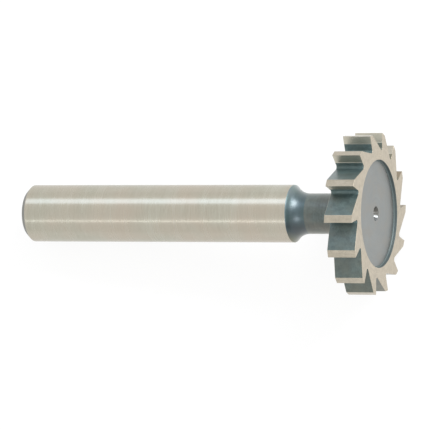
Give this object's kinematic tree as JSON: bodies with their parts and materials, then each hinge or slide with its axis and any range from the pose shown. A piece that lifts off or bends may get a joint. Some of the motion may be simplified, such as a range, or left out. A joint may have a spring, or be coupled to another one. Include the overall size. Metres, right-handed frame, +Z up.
{
  "type": "t slot cutter",
  "caption": "One-piece steel slot milling cutter: thin disc head with straight teeth on a slender neck and a plain round shank.",
  "frame": {"origin": "middle of the cutter's box on the ground it lies on", "axes": "+Z up, +X along the cutter towards its head; the tool's axis lies in the XZ plane and rises towards the head"},
  "size_m": [0.0674, 0.028, 0.0277],
  "materials": {
    "steel": "ground bright on shank, lands and faces, dark oxide in the neck and gullets"
  },
  "bodies": {
    "root": {"cutter": "steel"}
  },
  "joints": []
}
